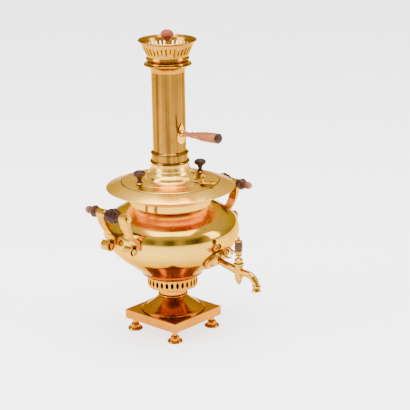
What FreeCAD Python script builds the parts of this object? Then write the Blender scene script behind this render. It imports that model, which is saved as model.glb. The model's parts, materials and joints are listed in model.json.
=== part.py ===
import FreeCAD, Part
import math
import os

os.makedirs("parts", exist_ok=True)

V = FreeCAD.Vector
Z_AXIS = V(0, 0, 1)

# A charcoal samovar in sheet and cast brass. Origin at the bottom centre, +Z up,
# the tap points to -Y and the two body handles stand at -X and +X.

# Driving dimensions in millimetres
wall = 1.8
slip = 0.35               # clearance between bodies that lift or turn against each other
cut = 1.0                 # how far a cutting tool runs past the face it cuts
facet_sag = 0.90          # how far a chord of a turned curve may leave its arc

foot_rim_r = 14.4
foot_rim_h = 4.0
foot_dome_r = 9.0
foot_dome_top = 13.5
foot_neck_r = 4.6
foot_inset = 12.5

plinth_side = 127.0
plinth_bottom = 22.5
plinth_height = 18.0
plinth_sheet = 2.4
plinth_edge = 1.2

pedestal_disc_r = 59.5
pedestal_disc_h = 3.0
pedestal_neck_r = 25.0
pedestal_bead_r = 28.0
pedestal_height = 46.5
pedestal_bead_drop = 17.0

tie_r = 4.0
tie_nut_r = 9.0
tie_nut_h = 6.0

gallery_r = 47.0
gallery_h = 21.0
gallery_slots = 30
gallery_slot_h = 14.0
gallery_slot_w = 5.6

bowl_r = 60.0
bowl_h = 11.5

belly_r = 125.7
belly_rise = 76.0         # from the seam to the widest circle
shoulder_rise = 52.0      # from the widest circle to the neck
neck_r = 75.0
neck_h = 38.5

brim_r = 118.4
brim_drop = 9.3
brim_sheet = 2.2
seat_r = 90.3
seat_depth = 2.2
cove_r = 84.0

lid_gap = 1.7             # play between the lid's edge and the brim's step
lid_edge_h = 3.5
lid_skirt_h = 5.0
lid_collar_r = 33.8
lid_collar_h = 38.4
lid_slope = 0.125
lid_step_r = 48.0
lid_flare_r = 44.6
lid_knob_place_r = 66.0
lid_knob_turn = 14.0
lid_knob_r = 11.4
lid_knob_h = 25.0
lid_knob_screw_r = 2.0
lid_knob_seat_r = 6.5

steam_hole_r = 4.5
steam_hole_place_r = 57.0
vent_place_r = 73.0
vent_open = 35.0          # the shutter's azimuth past the vent's own
vent_boss_r = 5.0
vent_turn = 7.0           # azimuth of the vent past the tap's direction
vent_plate_h = 1.6
vent_knob_h = 17.0
vent_pin_r = 1.6
vent_pin_l = 5.5

flue_top_r = 28.2
flue_foot_r = 41.0
flue_wall = 1.5
flue_over_lid = 15.5
grate_h = 4.0
grate_hole_r = 5.0
grate_holes = 8

column_r = 30.4
column_h = 167.0
collar_r = 33.0
collar_bead_r = 36.4
collar_h = 23.0

grip_height = 57.0        # chimney grip above the bottom of the column
grip_tilt = 4.0
grip_turn = -3.0
grip_neck_l = 23.0
grip_l = 72.0
grip_r0 = 5.2
grip_r1 = 9.2
grip_cap_l = 8.0
shield_h = 37.0
shield_w = 19.0
shield_t = 2.0

drip_r = 43.5
drip_h = 15.0
crown_neck_r = 31.5
crown_ring_r = 38.6
crown_ring_h = 8.0
crown_rim_r = 53.0
crown_h = 32.0
crown_sheet = 1.6
crown_slots = 36
crown_slot_w = 3.0
crown_slot_h = 14.0
spigot_h = 12.0
crown_hole_r = 22.0

damper_r = 29.0
damper_h = 15.0
damper_stem_r = 2.6
damper_stem_h = 18.0
damper_knob_r = 12.0
damper_knob_h = 20.5

handle_place_r = 148.0
handle_z = 256.0
strap_place = 28.0        # each strap's distance from the handle's middle
strap_w = 17.0
strap_t = 3.0
eye_r = 8.0
rod_r = 3.0
grip_rings = (9.5, 14.0, 11.5)
cup_l = 3.0
cup_r = 7.2
end_knob_l = 33.0
end_knob_r = 11.0
scroll_r = 10.5

tap_plate_r = 25.0
tap_plate_t = 3.0
tap_pitch = 45.0
barrel_place = 163.0
barrel_z = 148.5
barrel_r = 7.8
barrel_h = 31.0
pipe_r = 6.6
plug_r = 4.6
plug_taper = 0.8
spout_r = 6.2
spout_wall = 1.6
spout_reach = 41.0
spout_bends = 4
mouth_r = 8.6
mouth_h = 7.0
way_r = 2.6
stub_l = 10.0             # threaded end of the pipe inside the vessel
back_nut_r = 9.0
back_nut_h = 4.0

key_drum_r = 6.6
key_drum_h = 17.0
key_drum_rise = 23.0
key_spire_h = 12.0
lever_reach = 25.0
lever_t = 5.0
volute_r = 11.0

# Places worked out from the sizes above
lid_r = seat_r - lid_gap
vent_azimuth = -90 + vent_turn
z_plinth_top = plinth_bottom + plinth_height
z_gallery = z_plinth_top + pedestal_height
z_bowl = z_gallery + gallery_h
z_seam = z_bowl + bowl_h
z_belly = z_seam + belly_rise
z_neck = z_belly + shoulder_rise
z_seat = z_neck + neck_h
z_brim = z_seat + seat_depth
z_lid = z_seat
z_lid_top = z_lid + lid_collar_h
z_column_top = z_lid_top + column_h
z_crown_ring = z_column_top + drip_h + 7.0
z_crown_base = z_crown_ring + crown_ring_h * 0.5
z_crown_rim = z_crown_base + crown_h


def chords(start, middle, end):
    """The corners of the turned flats that follow an arc, first point left out."""
    arc = Part.Arc(start, middle, end).toShape()
    first, last = arc.ParameterRange
    flat = 2 * math.acos(1 - min(facet_sag / arc.Curve.Radius, 0.5))
    count = max(2, math.ceil((last - first) / flat))
    step = (last - first) / count
    return [arc.Curve.value(first + step * (i + 1)) for i in range(count)]


def section(start, *steps):
    """A closed face in the XZ plane: a step is a point, or a middle and an end point of an arc."""
    edges = []
    here = V(start[0], 0, start[1])
    first = here
    for step in steps:
        if isinstance(step[0], tuple):
            middle = V(step[0][0], 0, step[0][1])
            corners = chords(here, middle, V(step[1][0], 0, step[1][1]))
        else:
            corners = [V(step[0], 0, step[1])]
        for end in corners:
            edges.append(Part.LineSegment(here, end).toShape())
            here = end
    if (here - first).Length > 1e-6:
        edges.append(Part.LineSegment(here, first).toShape())
    return Part.Face(Part.Wire(edges))


def turned(start, *steps):
    """A solid of revolution about Z."""
    return section(start, *steps).revolve(V(0, 0, 0), Z_AXIS, 360)


def ring(r_in, r_out, z, h):
    """A flat ring or tube."""
    return turned((r_in, z), (r_out, z), (r_out, z + h), (r_in, z + h))


def rod(r, h, base=V(0, 0, 0), direction=Z_AXIS):
    """A round bar."""
    return Part.makeCylinder(r, h, base, direction)


def around(shape, count, start=0.0):
    """Copies of a shape, evenly spaced about Z."""
    copies = []
    for i in range(count):
        copy = shape.copy()
        copy.rotate(V(0, 0, 0), Z_AXIS, start + 360.0 * i / count)
        copies.append(copy)
    return copies


def lay(shape, direction, place):
    """Turn a shape's +Z to a direction and move its origin to a place."""
    moved = shape.copy()
    turn = FreeCAD.Rotation(Z_AXIS, direction)
    moved.Placement = FreeCAD.Placement(place, turn).multiply(moved.Placement)
    return moved


def polar(r, degrees, z):
    """A point from its distance to the axis, its azimuth and its height."""
    a = math.radians(degrees)
    return V(r * math.cos(a), r * math.sin(a), z)


def save(name, shape):
    """Write one named piece."""
    shape.exportStep("parts/" + name + ".step")


def foot():
    """A turned bell foot: flat rim, dome and a neck up to the plinth's sheet."""
    neck_top = z_plinth_top - plinth_sheet
    return turned(
        (0, 0), (foot_rim_r - 1, 0),
        ((foot_rim_r, foot_rim_h * 0.4), (foot_rim_r - 1.2, foot_rim_h)),
        (foot_dome_r + 0.6, foot_rim_h + 0.8), (foot_dome_r, foot_rim_h + 1.4),
        ((foot_dome_r * 0.86, foot_dome_top - 2.6), (foot_neck_r, foot_dome_top)),
        (foot_neck_r, plinth_bottom - 3.5), (foot_neck_r + 1.6, plinth_bottom - 2),
        (foot_neck_r + 1.6, neck_top), (0, neck_top))


def plinth():
    """A square tray, open below, with four turned-down sides."""
    half = plinth_side / 2
    outer = Part.makeBox(plinth_side, plinth_side, plinth_height, V(-half, -half, plinth_bottom))
    rim = [e for e in outer.Edges if e.BoundBox.ZMin > z_plinth_top - 0.1]
    outer = outer.makeChamfer(plinth_edge, rim)
    inside = plinth_side - 2 * plinth_sheet
    hollow = Part.makeBox(inside, inside, plinth_height - plinth_sheet + cut,
                          V(-inside / 2, -inside / 2, plinth_bottom - cut))
    hole = rod(tie_r + slip, plinth_height + 2 * cut, V(0, 0, plinth_bottom - cut))
    return outer.cut(hollow).cut(hole)


def pedestal():
    """A trumpet foot: stepped disc, concave flare, bead and neck under the gallery."""
    z0 = z_plinth_top
    disc = pedestal_disc_r
    edge = z0 + pedestal_disc_h
    bead = z_gallery - pedestal_bead_drop
    top = z_gallery
    neck = pedestal_neck_r
    outside = turned(
        (0, z0), (disc, z0), (disc, edge - 0.6), (disc - 0.6, edge), (disc - 2.6, edge + 0.2),
        ((disc - 4.4, edge + 1.6), (disc - 6.4, edge + 1.2)),
        (disc - 9.0, edge + 2.6),
        ((neck + 9.5, bead - 10.0), (neck, bead - 3.0)),
        ((pedestal_bead_r, bead), (neck, bead + 3.0)),
        (neck, top), (0, top))
    inside = turned(
        (0, z0 - cut), (disc - 4, z0 - cut), (disc - 4, z0), (disc - 10, edge + 0.6),
        (neck + 6, bead - 12.0), (neck - wall, bead - 4), (neck - wall, top - wall), (0, top - wall))
    hole = rod(tie_r + slip, 3 * wall + cut, V(0, 0, top - 3 * wall))
    return outside.cut(inside).cut(hole)


def tie_rod():
    """The bolt that holds plinth, pedestal and gallery together."""
    z0 = z_plinth_top - plinth_sheet - tie_nut_h
    top = z_gallery + wall + tie_nut_h * 0.5
    head = Part.makeCylinder(tie_nut_r, tie_nut_h * 0.5, V(0, 0, z_gallery + wall))
    return rod(tie_r, top - z0, V(0, 0, z0)).fuse(head).removeSplitter()


def tie_nut():
    """The hexagon nut under the plinth's sheet."""
    points = [polar(tie_nut_r, 60 * i, z_plinth_top - plinth_sheet - tie_nut_h) for i in range(7)]
    blank = Part.Face(Part.makePolygon(points)).extrude(V(0, 0, tie_nut_h))
    return blank.cut(rod(tie_r, tie_nut_h + 2 * cut, V(0, 0, points[0].z - cut)))


def lens(w, h, depth, z):
    """A pointed oval punch, along +X, centred at height z."""
    sides = [(0, -0.5), (0.5, -0.17), (0.5, 0.17), (0, 0.5), (-0.5, 0.17), (-0.5, -0.17), (0, -0.5)]
    points = [V(0, w * across, z + h * up) for across, up in sides]
    return Part.Face(Part.makePolygon(points)).extrude(V(depth, 0, 0))


def air_gallery():
    """The pierced draught gallery: a cylinder with a floor and a row of pointed oval holes."""
    z0 = z_gallery
    shell = turned(
        (tie_r + slip, z0), (gallery_r - 2, z0), ((gallery_r - 0.6, z0 + 0.6), (gallery_r, z0 + 2)),
        (gallery_r, z0 + gallery_h), (gallery_r - wall, z0 + gallery_h),
        (gallery_r - wall, z0 + wall), (tie_r + slip, z0 + wall))
    punch = lens(gallery_slot_w, gallery_slot_h, gallery_r, z0 + gallery_h * 0.55)
    punch.translate(V(gallery_r * 0.5, 0, 0))
    return shell.cut(Part.makeCompound(around(punch, gallery_slots, 6.0)))


def base_bowl():
    """The rounded skirt between gallery and body, which carries fire tube and grate."""
    z0 = z_bowl
    top = z_seam
    shelf = flue_foot_r - 3.5
    return turned(
        (shelf, z0), (gallery_r + 2.5, z0),
        ((bowl_r - 3.0, z0 + bowl_h * 0.42), (bowl_r, top - 1.5)), (bowl_r, top),
        (bowl_r - wall, top), (bowl_r - wall - 1, top - 2.5),
        (gallery_r + 1.5, z0 + wall), (shelf, z0 + wall))


def body_outline(inset):
    """The vessel's half outline, from the seam to the top of the neck, set in by a wall."""
    low = bowl_r + 1.6 - inset
    wide = belly_r - inset
    neck = neck_r - inset
    return low, wide, neck


def vessel_outside():
    """The vessel as a full solid, which shapes what seats on it."""
    low, wide, neck = body_outline(0)
    return turned(
        (0, z_seam), (low, z_seam), (low + 1.0, z_seam + 1.2),
        ((low + (wide - low) * 0.42, z_seam + belly_rise * 0.29),
         (low + (wide - low) * 0.70, z_seam + belly_rise * 0.50)),
        ((wide - 4.6, z_belly - 18), (wide, z_belly)),
        ((wide - 4.8, z_belly + 20), (wide - 19, z_belly + 33.5)),
        ((wide - 33.0, z_belly + 42.4), (neck, z_neck)),
        (neck, z_seat), (0, z_seat))


def body_shell():
    """The water vessel: a squat vase with a straight neck."""
    low, wide, neck = body_outline(wall)
    inside = turned(
        (0, z_seam - cut), (low, z_seam - cut), (low, z_seam + 1.6),
        (low + (wide - low) * 0.66, z_seam + belly_rise * 0.48),
        (wide - 5.5, z_belly - 18), (wide, z_belly), (wide - 4.6, z_belly + 19),
        (wide - 20, z_belly + 32.5), (neck, z_neck - 1.4), (neck, z_seat + cut), (0, z_seat + cut))
    shell = vessel_outside().cut(inside)
    return shell.cut([pipe_solid(pipe_r), strap_rivets(-1), strap_rivets(1)])


def water_floor():
    """The ring that closes the water space round the foot of the fire tube."""
    return ring(flue_foot_r, bowl_r + 1.6 - wall, z_seam, 1.2)


def fire_tube():
    """The flue that holds the charcoal, tapering from the grate to the chimney."""
    z0 = z_bowl + wall
    top = z_lid_top + flue_over_lid
    waist = z_seat
    return turned(
        (flue_foot_r - flue_wall, z0), (flue_foot_r, z0), (flue_foot_r, z_seam + 4),
        (flue_top_r, waist - 20), (flue_top_r, top), (flue_top_r - flue_wall, top),
        (flue_top_r - flue_wall, waist - 20), (flue_foot_r - flue_wall, z_seam + 4))


def fire_grate():
    """A cast grate that lies on the bowl's shelf."""
    z0 = z_bowl + wall
    r = flue_foot_r - flue_wall - 0.3
    plate = rod(r, grate_h, V(0, 0, z0))
    hole = rod(grate_hole_r, grate_h + 2 * cut, V(0, 0, z0 - cut))
    outer = hole.copy()
    outer.translate(V(r * 0.55, 0, 0))
    return plate.cut([hole] + around(outer, grate_holes))


def top_brim():
    """The sloping brim: seat for the lid, rolled edge, cove and bead round the neck."""
    slope = brim_drop / (brim_r - seat_r)
    edge = z_brim - brim_drop
    bead = z_neck + neck_h * 0.42
    under_r = cove_r + 10
    under_z = z_brim - slope * (under_r - seat_r) - brim_sheet
    return turned(
        (neck_r, z_seat), (seat_r, z_seat), (seat_r, z_brim), (brim_r - 1.2, edge + 0.3),
        ((brim_r, edge - 0.9), (brim_r - 1.2, edge - brim_sheet)),
        (under_r, under_z),
        ((cove_r + 2.5, under_z - 8), (cove_r - 1.5, bead + 2.2)),
        ((cove_r, bead), (cove_r - 2.5, bead - 1.8)),
        (neck_r + wall, bead - 4), (neck_r, bead - 4))


def lid():
    """The stepped lid with a concave flare up to the collar that carries the chimney."""
    z0 = z_lid
    edge = z0 + lid_edge_h
    top = z_lid_top
    collar = lid_collar_r
    skirt = neck_r - wall - slip
    bore = column_r + slip + 0.6
    step = lid_surface(lid_step_r)
    solid = turned(
        (skirt, z0), (lid_r, z0), (lid_r, edge - 0.7), (lid_r - 0.7, edge),
        (lid_step_r, step), (lid_step_r - 1.5, step + 1.8), (lid_flare_r + 1.0, step + 4.8),
        (lid_flare_r, step + 7.2),
        ((lid_flare_r - 4.6, step + 11.2), (lid_flare_r - 6.8, step + 16.8)), (lid_flare_r - 8.2, step + 17.8),
        ((lid_flare_r - 9.8, step + 23.4), (collar, top)), (bore, top),
        (bore, step + 17.0), (lid_flare_r - 2.5, step + 4.0), (lid_step_r, step - wall),
        (skirt - wall, edge - wall + 0.6), (skirt - wall, z0 - lid_skirt_h), (skirt, z0 - lid_skirt_h))
    boss = vent_place()
    boss.z = z_lid + lid_edge_h - 1.0
    solid = solid.fuse(rod(vent_boss_r, vent_plate_z() - slip - boss.z, boss))
    steam = rod(steam_hole_r, 60, polar(steam_hole_place_r, vent_azimuth, z0 - 10))
    pin = rod(vent_pin_r + 0.05, 60, polar(vent_place_r, vent_azimuth, z0 - 10))
    screws = [rod(lid_knob_screw_r, 30, place - V(0, 0, 15)) for place in lid_knob_places()]
    return solid.cut([steam, pin] + screws)


def lid_surface(r):
    """The height of the lid's flat shoulder at a radius."""
    return z_lid + lid_edge_h + lid_slope * (lid_r - 0.7 - r)


def vent_plate_z():
    """The underside of the vent's shutter, clear of the lid all round."""
    return lid_surface(steam_hole_place_r - steam_hole_r - 2.4) + slip


def lid_knob_places():
    """Where the two lid knobs stand."""
    z = lid_surface(lid_knob_place_r - lid_knob_seat_r)
    return [polar(lid_knob_place_r, 180 - lid_knob_turn, z), polar(lid_knob_place_r, -lid_knob_turn, z)]


def lid_knob(place):
    """A turned wooden mushroom knob on its brass seat."""
    r, h = lid_knob_r, lid_knob_h
    knob = turned(
        (0, 2.4), (6.0, 2.4), ((3.6, 6.0), (4.6, 10.0)), ((6.2, 14.0), (r - 1.5, h - 9.0)),
        ((r, h - 5.5), (r - 1.6, h - 2.4)), ((r * 0.5, h - 0.3), (0, h)))
    knob = knob.cut(rod(lid_knob_screw_r, 14.0, V(0, 0, 0)))
    knob.translate(place)
    return knob


def lid_knob_screw(place):
    """The brass seat and screw that hold a lid knob from below."""
    r, seat = lid_knob_screw_r, lid_knob_seat_r
    under = lid_slope * 2 * seat + wall + 2.4
    screw = turned(
        (0, -under - 2.0), (r + 2.2, -under - 2.0), (r + 2.2, -under), (r, -under), (r, 0),
        (seat, 0), (seat, 1.2), (seat - 1.0, 2.4), (r, 2.4), (r, 14.0), (0, 14.0))
    screw.translate(place)
    return screw


def vent_place():
    """The vent's pivot on the lid's shoulder."""
    return polar(vent_place_r, vent_azimuth, vent_plate_z())


def vent_cover():
    """The shutter that swings over the steam hole, with its pivot pin."""
    reach = vent_place_r - steam_hole_place_r
    hub = rod(6.0, vent_plate_h)
    leaf = rod(steam_hole_r + 1.8, vent_plate_h, V(reach, 0, 0))
    arm = Part.makeBox(reach, 8.0, vent_plate_h, V(0, -4.0, 0))
    pin = rod(vent_pin_r, vent_pin_l, V(0, 0, -vent_pin_l))
    cover = hub.fuse(leaf).fuse(arm).fuse(pin).removeSplitter()
    cover.rotate(V(0, 0, 0), Z_AXIS, vent_azimuth + vent_open)
    cover.translate(vent_place())
    return cover


def vent_knob():
    """The small turned knob of the vent."""
    h = vent_knob_h
    knob = turned(
        (0, vent_plate_h), (5.4, vent_plate_h), ((2.4, 4.4), (2.2, h * 0.5)), (3.4, h * 0.55), (2.8, h * 0.6),
        ((5.6, h * 0.8), (2.4, h - 0.6)), (0, h))
    knob.translate(vent_place())
    return knob


def chimney_tube():
    """The plain chimney column."""
    return ring(flue_top_r + slip, column_r, z_lid_top, column_h)


def chimney_collar():
    """The moulded collar at the foot of the column."""
    z0 = z_lid_top
    return turned(
        (column_r, z0), (collar_bead_r - 1, z0), ((collar_bead_r, z0 + 1.9), (collar_bead_r - 1, z0 + 3.8)),
        (collar_r, z0 + 4.6), (collar_r, z0 + collar_h - 6.6),
        ((collar_r + 2.0, z0 + collar_h - 4.8), (collar_r, z0 + collar_h - 3.0)),
        (column_r + 1.0, z0 + collar_h - 1.5), (column_r, z0 + collar_h))


def grip_frame():
    """Root point and direction of the chimney's side grip."""
    azimuth = -90 + grip_turn
    a, t = math.radians(azimuth), math.radians(grip_tilt)
    direction = V(math.cos(a) * math.cos(t), math.sin(a) * math.cos(t), math.sin(t))
    return polar(column_r, azimuth, z_lid_top + grip_height), direction


def grip_shield():
    """The teardrop plate that wraps the column behind the grip."""
    low = V(0, 0, -shield_h / 2)
    high = V(0, 0, shield_h / 2)
    side = shield_w / 2
    edges = [
        Part.Arc(V(0, -side, -shield_h * 0.18), low, V(0, side, -shield_h * 0.18)).toShape(),
        Part.Arc(V(0, side, -shield_h * 0.18), V(0, side * 0.62, shield_h * 0.22), high).toShape(),
        Part.Arc(high, V(0, -side * 0.62, shield_h * 0.22), V(0, -side, -shield_h * 0.18)).toShape()]
    blank = Part.Face(Part.Wire(edges)).extrude(V(column_r + 2 * shield_t, 0, 0))
    azimuth = -90 + grip_turn
    blank.rotate(V(0, 0, 0), Z_AXIS, azimuth)
    blank.translate(V(0, 0, z_lid_top + grip_height))
    plate = blank.common(ring(column_r, column_r + shield_t, z_lid_top + grip_height - shield_h, 2 * shield_h))
    return plate.cut(grip_ferrule())


def grip_ferrule():
    """The brass socket and rod that carry the chimney's grip."""
    root, direction = grip_frame()
    base = shield_t + 0.3
    socket = turned((0, base), (6.0, base), (6.0, base + 2), ((4.0, base + 4), (4.4, base + 8)), (0, base + 8))
    bar = rod(2.2, grip_neck_l + grip_l - 20, V(0, 0, base))
    foot_bar = rod(4.0, 2.0, V(0, 0, base - 1.2))
    return lay(socket.fuse(bar).fuse(foot_bar).removeSplitter(), direction, root)


def chimney_grip():
    """The turned wooden grip: a slim neck that swells to a barrel."""
    root, direction = grip_frame()
    start = shield_t + 8.3
    swell = start + grip_neck_l
    end = start + grip_neck_l + grip_l - 14
    wood = turned(
        (0, start), (grip_r0 - 0.6, start), (grip_r0 - 0.8, swell - 6), (grip_r0 + 0.8, swell - 4),
        (grip_r0, swell - 2),
        ((grip_r1 * 0.93, swell + (end - swell) * 0.5), (grip_r1, end - 8)),
        ((grip_r1 - 0.2, end - 3), (grip_r1 - 1.4, end)), (0, end))
    wood = wood.cut(rod(2.2, grip_neck_l + grip_l - 20 + shield_t + 0.3))
    return lay(wood, direction, root)


def grip_cap():
    """The dark turned end of the chimney's grip."""
    root, direction = grip_frame()
    start = shield_t + 8.3 + grip_neck_l + grip_l - 14
    r = grip_r1
    cap = turned(
        (0, start), (r - 2.0, start), (r - 2.0, start + 1.4), ((r + 0.4, start + 3.0), (r - 1.4, start + 5.0)),
        ((r * 0.5, start + grip_cap_l), (0, start + grip_cap_l + 0.6)))
    return lay(cap, direction, root)


def drip_ring():
    """The flared drip flange and the spigot that drops into the column."""
    z0 = z_column_top
    bore = flue_top_r - wall
    spigot = flue_top_r
    lip = z0 + drip_h
    return turned(
        (spigot - wall, z0 - spigot_h), (spigot, z0 - spigot_h), (spigot, z0), (column_r, z0),
        ((column_r + 2.5, z0 + 8), (drip_r - 1.0, lip - 2.6)), ((drip_r, lip - 1.3), (drip_r - 1.0, lip)),
        (crown_neck_r + 3, lip + 1.2), (crown_neck_r, lip + 3), (crown_neck_r, z_crown_ring - 2),
        (bore, z_crown_ring - 2))


def crown():
    """The pierced crown: bead, floor, a cone with a row of slots and a rolled rim."""
    z0 = z_crown_ring - 2
    base = z_crown_base
    rim = z_crown_rim
    r0 = crown_ring_r
    outer = crown_rim_r
    shell = turned(
        (crown_hole_r, z0), (crown_neck_r, z0), (r0 - 1.5, z0 + 0.5),
        ((r0 + 0.6, z0 + 3.6), (r0 - 1.2, base + 2.4)),
        (r0 - 0.6, base + 4.0), (outer - 4.0, rim - 4.5),
        ((outer - 2.2, rim - 3.2), (outer - 0.8, rim - 2.4)), ((outer, rim - 1.2), (outer - 1.0, rim)),
        (outer - 2.6, rim - 0.4), (outer - 4.0 - crown_sheet, rim - 4.5),
        (r0 - 0.6 - crown_sheet, base + 4.0), (r0 - 3.4, z0 + 2.0), (crown_hole_r, z0 + 2.0))
    low = base + 7.5
    slot = Part.makeBox(24, crown_slot_w, crown_slot_h, V(r0 - 10, -crown_slot_w / 2, low))
    return shell.cut(Part.makeCompound(around(slot, crown_slots)))


def damper_cap():
    """The domed cap that shuts the crown's hole."""
    z0 = z_crown_ring
    return turned(
        (0, z0), (damper_r, z0), (damper_r, z0 + 1.6),
        ((damper_r * 0.66, z0 + damper_h * 0.55), (7.0, z0 + damper_h)),
        (damper_stem_r + 1.4, z0 + damper_h + 1.0), (damper_stem_r + 1.4, z0 + damper_h + damper_stem_h),
        (damper_stem_r, z0 + damper_h + damper_stem_h), (damper_stem_r, z0 + damper_h + damper_stem_h + 10.0),
        (0, z0 + damper_h + damper_stem_h + 10.0))


def damper_knob():
    """The heart-shaped wooden knob on the cap."""
    z0 = z_crown_ring + damper_h + damper_stem_h
    r, h = damper_knob_r, damper_knob_h
    knob = turned(
        (0, z0), (4.0, z0), ((5.4, z0 + 3), (r * 0.82, z0 + h * 0.36)),
        ((r, z0 + h * 0.6), (r * 0.72, z0 + h * 0.86)), ((r * 0.40, z0 + h * 0.98), (0, z0 + h)))
    return knob.cut(rod(damper_stem_r, 10.0, V(0, 0, z0)))


def strap_profile():
    """One handle strap in the XZ plane of a handle at +X: eye, leg and scrolled foot."""
    r, z = handle_place_r, handle_z
    t = strap_t
    eye = rod(eye_r, strap_w, V(r, -strap_w / 2, z), V(0, 1, 0))
    root_r = belly_r - 5.0
    leg = section(
        (r + eye_r - 0.6, z - 3.0),
        ((belly_r + t + (r - belly_r - t) * 0.79, z - 30.0), (belly_r + t + 0.4, z_belly + 14.0)),
        (belly_r + t, z_belly - 2.0), (root_r, z_belly - 2.0), (root_r, z_belly + 14.0),
        ((belly_r + (r - belly_r) * 0.64, z - 26.0), (r - eye_r + 2.0, z - 5.5)))
    leg = leg.extrude(V(0, strap_w, 0))
    leg.translate(V(0, -strap_w / 2, 0))
    return eye.fuse(leg)


def strap_scroll():
    """The rolled foot of a strap: a C-shaped curl about a boss."""
    t = strap_t
    x = belly_r + 1.0 + scroll_r
    z = z_belly - 2.0
    curl = rod(scroll_r, strap_w, V(x, -strap_w / 2, z), V(0, 1, 0))
    curl = curl.cut(rod(scroll_r - t, strap_w + 2 * cut, V(x, -strap_w / 2 - cut, z), V(0, 1, 0)))
    gap = Part.makeBox(scroll_r, strap_w + 2 * cut, scroll_r, V(x - scroll_r + t, -strap_w / 2 - cut, z + 1.0))
    curl = curl.cut(gap)
    boss = rod(scroll_r * 0.44, strap_w + 2.0, V(x, -strap_w / 2 - 1.0, z), V(0, 1, 0))
    web = Part.makeBox(t, strap_w, scroll_r, V(x - t / 2, -strap_w / 2, z - scroll_r + 0.6))
    return curl.fuse(boss).fuse(web)


def handle_strap(side, along):
    """A strap with its eye bored for the rod, at one place of one handle."""
    strap = strap_profile().fuse(strap_scroll())
    bore = rod(rod_r, strap_w + 2 * cut, V(handle_place_r, -strap_w / 2 - cut, handle_z), V(0, 1, 0))
    strap = strap.cut(bore).removeSplitter()
    strap.translate(V(0, along, 0))
    strap = strap.cut([vessel_outside(), strap_rivets(1)])
    if side < 0:
        strap.rotate(V(0, 0, 0), Z_AXIS, 180)
    return strap


def strap_rivets(side):
    """The rivets that hold the straps to the body, with their heads inside."""
    rivets = []
    for along in (-strap_place, strap_place):
        seat = math.sqrt(belly_r ** 2 - along ** 2)
        rivets.append(rod(2.0, 8.0, V(seat - 6.0, along, z_belly + 7.0), V(1, 0, 0)))
    group = Part.makeCompound(rivets)
    if side < 0:
        group.rotate(V(0, 0, 0), Z_AXIS, 180)
    return group


def grip_profile(side):
    """The turned wooden grip between the straps."""
    half = strap_place - strap_w / 2 - cup_l
    small, big, mid = grip_rings
    step = half / 4.0
    grip = turned(
        (0, -half), (small * 0.8, -half), ((small, -3.4 * step), (small * 0.76, -2.6 * step)),
        ((mid + 1, -1.9 * step), (mid * 0.8, -1.1 * step)),
        ((big, 0), (mid * 0.8, 1.1 * step)),
        ((mid + 1, 1.9 * step), (small * 0.76, 2.6 * step)),
        ((small, 3.4 * step), (small * 0.8, half)), (0, half))
    grip = grip.cut(rod(rod_r, 2 * half + 2 * cut, V(0, 0, -half - cut)))
    return lay(grip, V(0, 1, 0), V(side * handle_place_r, 0, handle_z))


def handle_rod(side, low, high):
    """The brass rod through the grip, the straps and the end knobs."""
    return rod(rod_r, high - low, V(side * handle_place_r, low, handle_z), V(0, 1, 0))


def cups(side):
    """The brass cups between grip and straps."""
    pair = []
    for sign in (-1, 1):
        start = strap_place - strap_w / 2 - cup_l
        cup = turned((rod_r, start), (cup_r - 1.2, start), (cup_r, start + cup_l), (rod_r, start + cup_l))
        pair.append(lay(cup, V(0, sign, 0), V(side * handle_place_r, 0, handle_z)))
    return Part.makeCompound(pair)


def end_knob(side, sign):
    """A turned wooden end outside a strap: cup, ring and an oval tip."""
    start = strap_place + strap_w / 2
    r, l = end_knob_r, end_knob_l
    knob = turned(
        (rod_r, start), (7.0, start), ((8.4, start + 2.0), (6.6, start + 4.0)),
        ((r, start + l * 0.32), (6.4, start + l * 0.56)),
        ((7.4, start + l * 0.74), (4.0, start + l - 1.6)), ((2.2, start + l - 0.3), (0, start + l)),
        (0, start + l - 10.0), (rod_r, start + l - 10.0))
    return lay(knob, V(0, sign, 0), V(side * handle_place_r, 0, handle_z))


def end_nut(side, sign):
    """The brass nut that ends the rod where the grip has no wooden end."""
    start = strap_place + strap_w / 2
    nut = turned((rod_r, start), (5.6, start), (5.6, start + 2.2), ((4.4, start + 4.4), (rod_r, start + 5.0)))
    return lay(nut, V(0, sign, 0), V(side * handle_place_r, 0, handle_z))


def tap_direction():
    """The way the tap's plate faces: out and down."""
    t = math.radians(tap_pitch)
    return V(0, -math.cos(t), -math.sin(t))


def tap_root():
    """The middle of the tap's plate on the belly."""
    low, wide, neck = body_outline(0)
    slope_low = V(0, -(low + (wide - low) * 0.70), z_seam + belly_rise * 0.50)
    return slope_low + V(0, 0.2, 1.4)


def tap_plate():
    """The round plate with a row of pearls that carries the tap."""
    r, t = tap_plate_r, tap_plate_t
    gap = 3.2
    plate = turned(
        (0, gap), (r - 3.6, gap), (r - 3.6, gap + t * 0.6), (r - 6.0, gap + t),
        ((10.5, gap + t + 0.8), (9.0, gap + t + 4.0)), (0, gap + t + 4.0))
    band = turned((r - 3.8, gap), (r, gap), ((r - 0.9, gap + 2.2), (r - 3.8, gap + 1.0)))
    skirt = turned((10.0, -6.0), (r - 6, -6.0), (r - 6, gap + 0.5), (10.0, gap + 0.5))
    solid = plate.fuse([band, skirt])
    solid = lay(solid, tap_direction(), tap_root())
    solid = solid.cut(vessel_outside())
    return solid.cut(pipe_solid(pipe_r))


def pipe_line():
    """Where the pipe starts in the vessel's wall, its direction and its length to the barrel."""
    start = tap_root() - tap_direction() * 2.0
    run = V(0, -barrel_place, barrel_z) - start
    return start, run / run.Length, run.Length


def pipe_solid(r):
    """The straight pipe from the vessel to the barrel, with its threaded stub inside."""
    start, along, length = pipe_line()
    pipe = Part.makeCone(r - 0.8, r + 0.6, length, start, along)
    stub = rod(r - 0.8, stub_l + cut, start - along * stub_l, along)
    return pipe.fuse(stub)


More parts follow.
